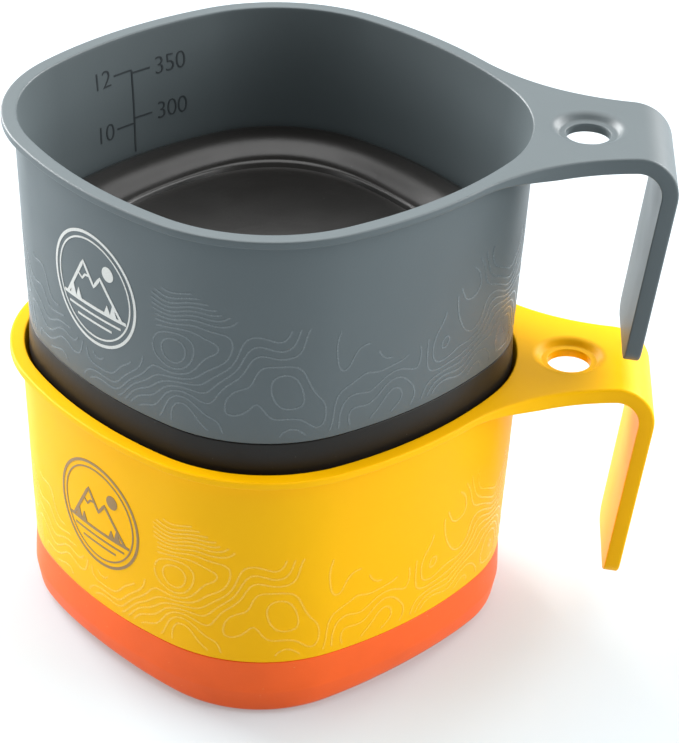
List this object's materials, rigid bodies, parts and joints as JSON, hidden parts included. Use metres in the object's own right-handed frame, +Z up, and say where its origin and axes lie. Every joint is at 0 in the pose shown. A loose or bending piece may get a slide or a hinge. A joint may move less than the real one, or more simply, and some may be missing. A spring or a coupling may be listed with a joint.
{
  "type": "collapsible travel cup set",
  "caption": "Collapsible travel cups, folded and stacked: rounded-square hard walls with open strap handles, each on a soft base that turns inside out to make the cup deeper.",
  "frame": {"origin": "centre of the lower cup's foot ring, on the surface that the folded stack stands on, on the vertical axis of both cups", "axes": "+X from the cups' centre towards the handles, +Z up out of the cups' mouths, +Y to the right of someone who looks from the handles to the cups; the cups' rounded corners lie on X and Y"},
  "size_m": [0.1174, 0.095, 0.0978],
  "materials": {
    "lower_shell": "satin",
    "lower_soft": "matte",
    "upper_shell": "satin",
    "upper_soft": "satin"
  },
  "bodies": {
    "lower_base": {"lower_floor": "lower_soft"},
    "lower_fold_wall": {"lower_fold": "lower_soft"},
    "lower_shell": {"lower_wall": "lower_shell", "lower_handle": "lower_shell", "lower_band": "lower_soft"},
    "upper_base": {"upper_floor": "upper_soft"},
    "upper_fold_wall": {"upper_fold": "upper_soft"},
    "upper_shell": {"upper_wall": "upper_shell", "upper_handle": "upper_shell", "upper_band": "upper_soft"}
  },
  "joints": [
    {"name": "lower_unfold", "type": "slide", "parent": "lower_base", "child": "lower_shell", "axis": [0, 0, 1], "range_m": [0, 0.055]},
    {"name": "lower_fold_turn", "type": "slide", "parent": "lower_base", "child": "lower_fold_wall", "axis": [0, 0, 1], "range_m": [0, 0.0275]},
    {"name": "upper_unfold", "type": "slide", "parent": "upper_base", "child": "upper_shell", "axis": [0, 0, 1], "range_m": [0, 0.055]},
    {"name": "upper_fold_turn", "type": "slide", "parent": "upper_base", "child": "upper_fold_wall", "axis": [0, 0, 1], "range_m": [0, 0.0275]},
    {"name": "upper_lift", "type": "slide", "parent": "lower_shell", "child": "upper_base", "axis": [0, 0, 1], "range_m": [0, 0.06]}
  ],
  "couplings": [
    {"joint": "lower_fold_turn", "follows": "lower_unfold", "ratio": 0.5},
    {"joint": "upper_fold_turn", "follows": "upper_unfold", "ratio": 0.5}
  ]
}
